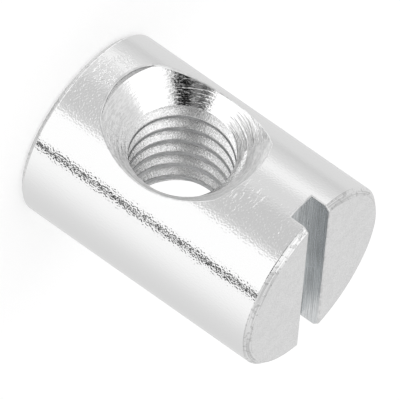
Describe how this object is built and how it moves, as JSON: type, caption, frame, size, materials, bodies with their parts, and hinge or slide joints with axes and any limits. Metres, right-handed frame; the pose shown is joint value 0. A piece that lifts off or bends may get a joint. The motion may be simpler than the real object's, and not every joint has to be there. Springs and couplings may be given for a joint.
{
  "type": "barrel nut",
  "caption": "turned steel barrel nut with a tapped cross hole countersunk from both sides and a screwdriver slot across one end",
  "frame": {"origin": "centre of the plain end, which the nut stands on", "axes": "+Z along the barrel towards the slotted end; the cross hole runs along Y and the screw enters it from -Y; the slot runs along Y"},
  "size_m": [0.01, 0.01, 0.0141],
  "materials": {
    "zinc_plated_steel": "bright zinc plate over turned steel"
  },
  "bodies": {
    "root": {"nut_body": "zinc_plated_steel"}
  },
  "joints": []
}
